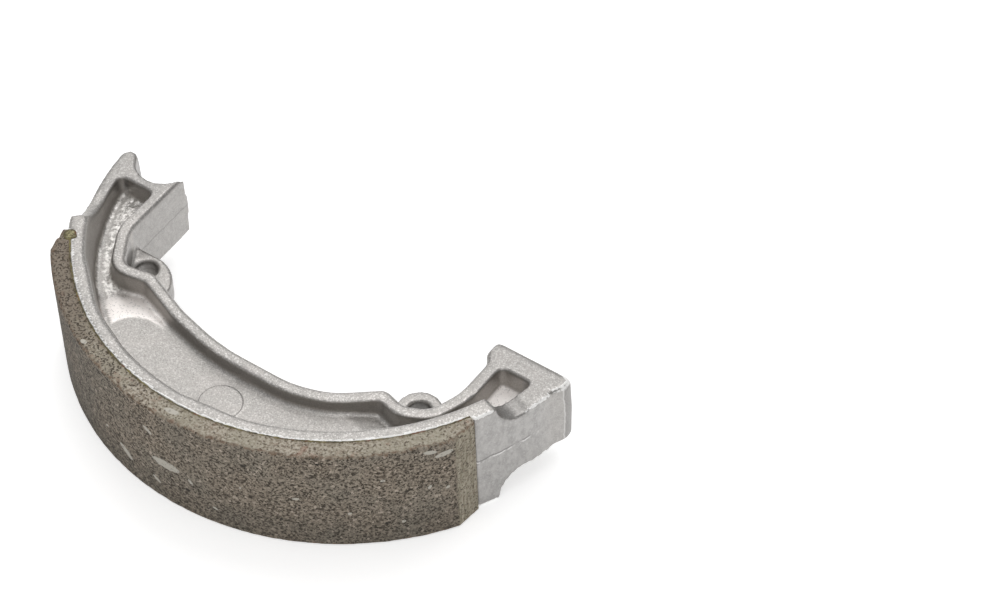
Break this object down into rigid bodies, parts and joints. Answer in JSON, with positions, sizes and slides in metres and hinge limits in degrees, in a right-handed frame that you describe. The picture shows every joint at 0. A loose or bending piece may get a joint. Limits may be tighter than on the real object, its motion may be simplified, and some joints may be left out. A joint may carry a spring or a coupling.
{
  "type": "drum brake shoe",
  "caption": "Curved die-cast aluminium brake shoe with drafted web pockets, spring lugs, a half-round anchor notch, a flat cam pad and a bonded friction lining.",
  "frame": {"origin": "where the drum's axis meets the plane that the shoe's side lies on", "axes": "+Z along the drum's axis, -Y towards the belly of the shoe, +X towards the cam end, -X towards the anchor end"},
  "size_m": [0.1036, 0.0518, 0.0249],
  "materials": {
    "cast_aluminium": "bare die-cast aluminium, fine grain, rounded cast edges",
    "lining": "moulded friction compound, ground face, pale and dark flecks",
    "adhesive": "cured dark bonding film with a little squeeze-out"
  },
  "bodies": {
    "root": {"shoe_casting": "cast_aluminium", "friction_lining": "lining", "lining_adhesive": "adhesive"}
  },
  "joints": []
}
